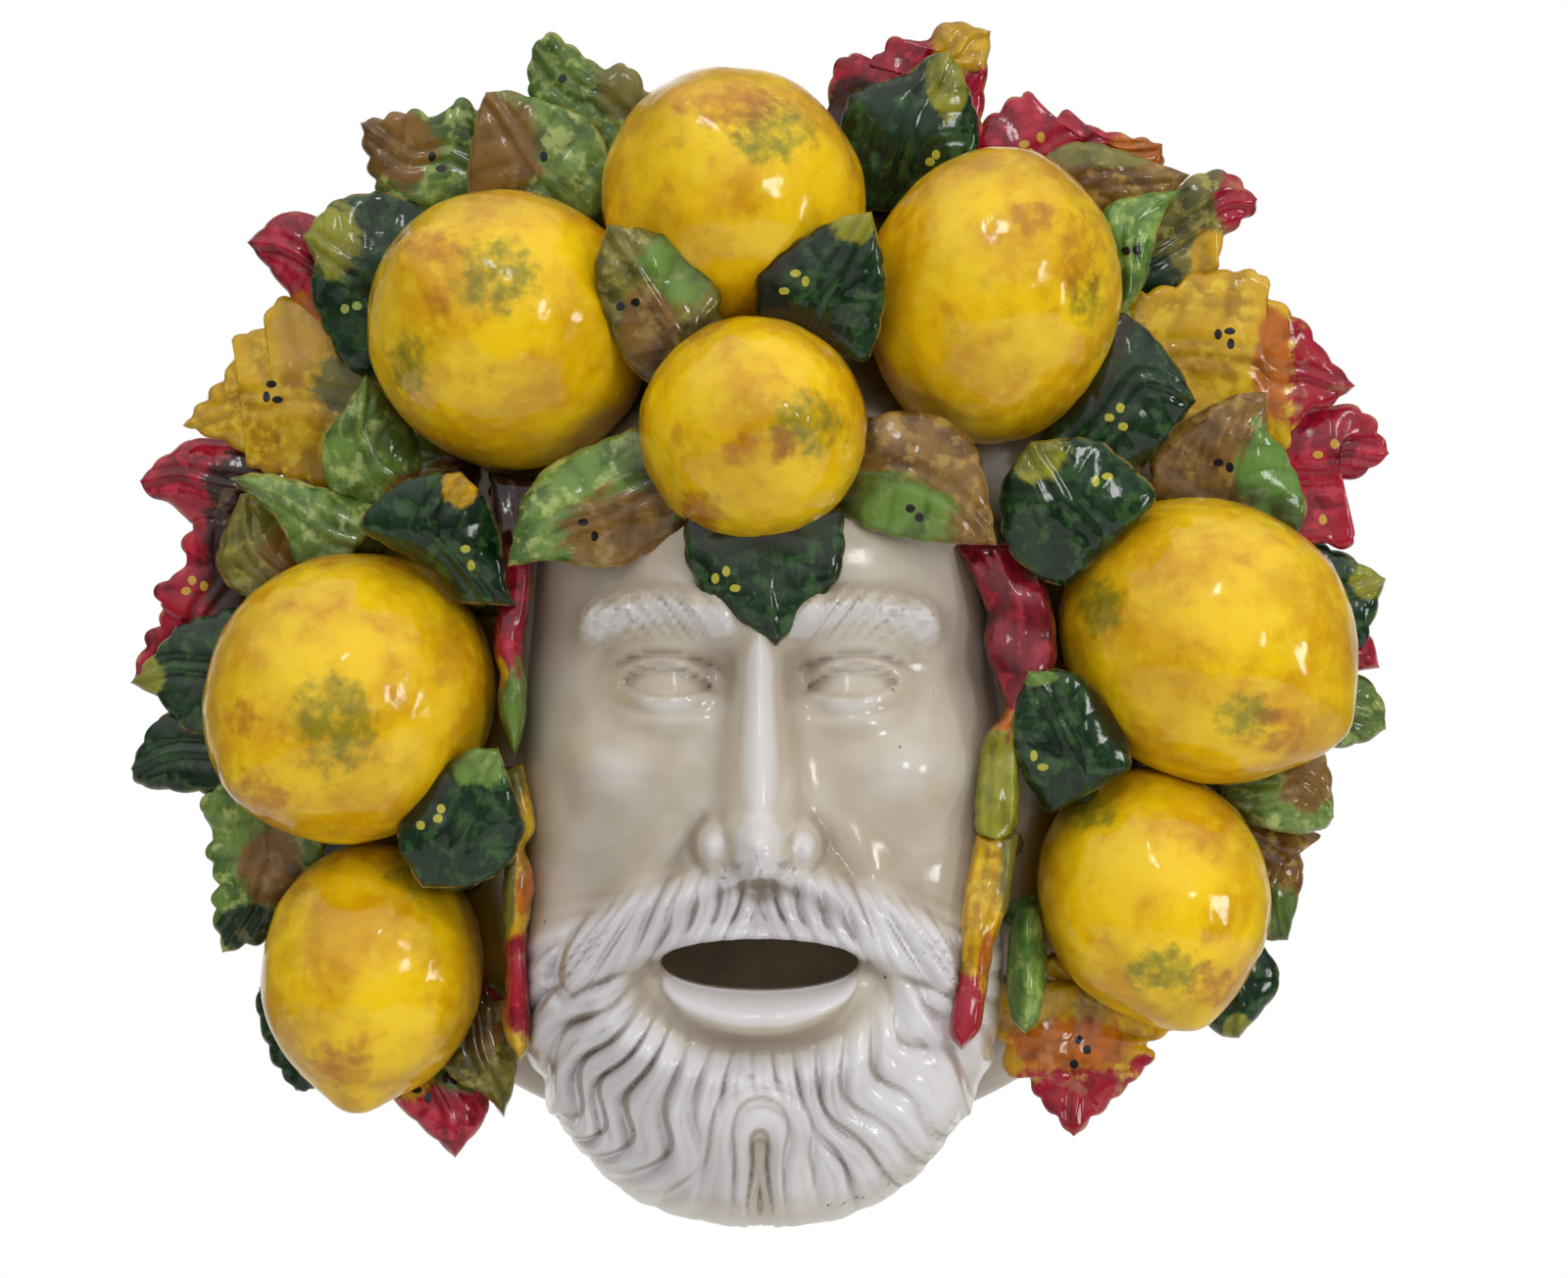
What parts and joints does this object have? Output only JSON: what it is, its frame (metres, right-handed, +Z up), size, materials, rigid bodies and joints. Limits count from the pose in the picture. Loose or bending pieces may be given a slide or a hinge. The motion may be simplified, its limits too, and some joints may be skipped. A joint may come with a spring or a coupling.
{
  "type": "wall mask",
  "caption": "Glazed ceramic wall mask of a bearded man with an open mouth under a wreath of lemons and leaves, hollow at the back.",
  "frame": {"origin": "on the back face of the hanging bar, midway between its two wire holes", "axes": "+Z up, +X to the right as seen from the front, the face looks along -Y and +Y points into the wall"},
  "size_m": [0.4017, 0.1386, 0.3857],
  "materials": {
    "glaze": "gloss tin glaze over terracotta, painted in yellow, green, crimson and brown"
  },
  "bodies": {
    "root": {"mask": "glaze"}
  },
  "joints": []
}
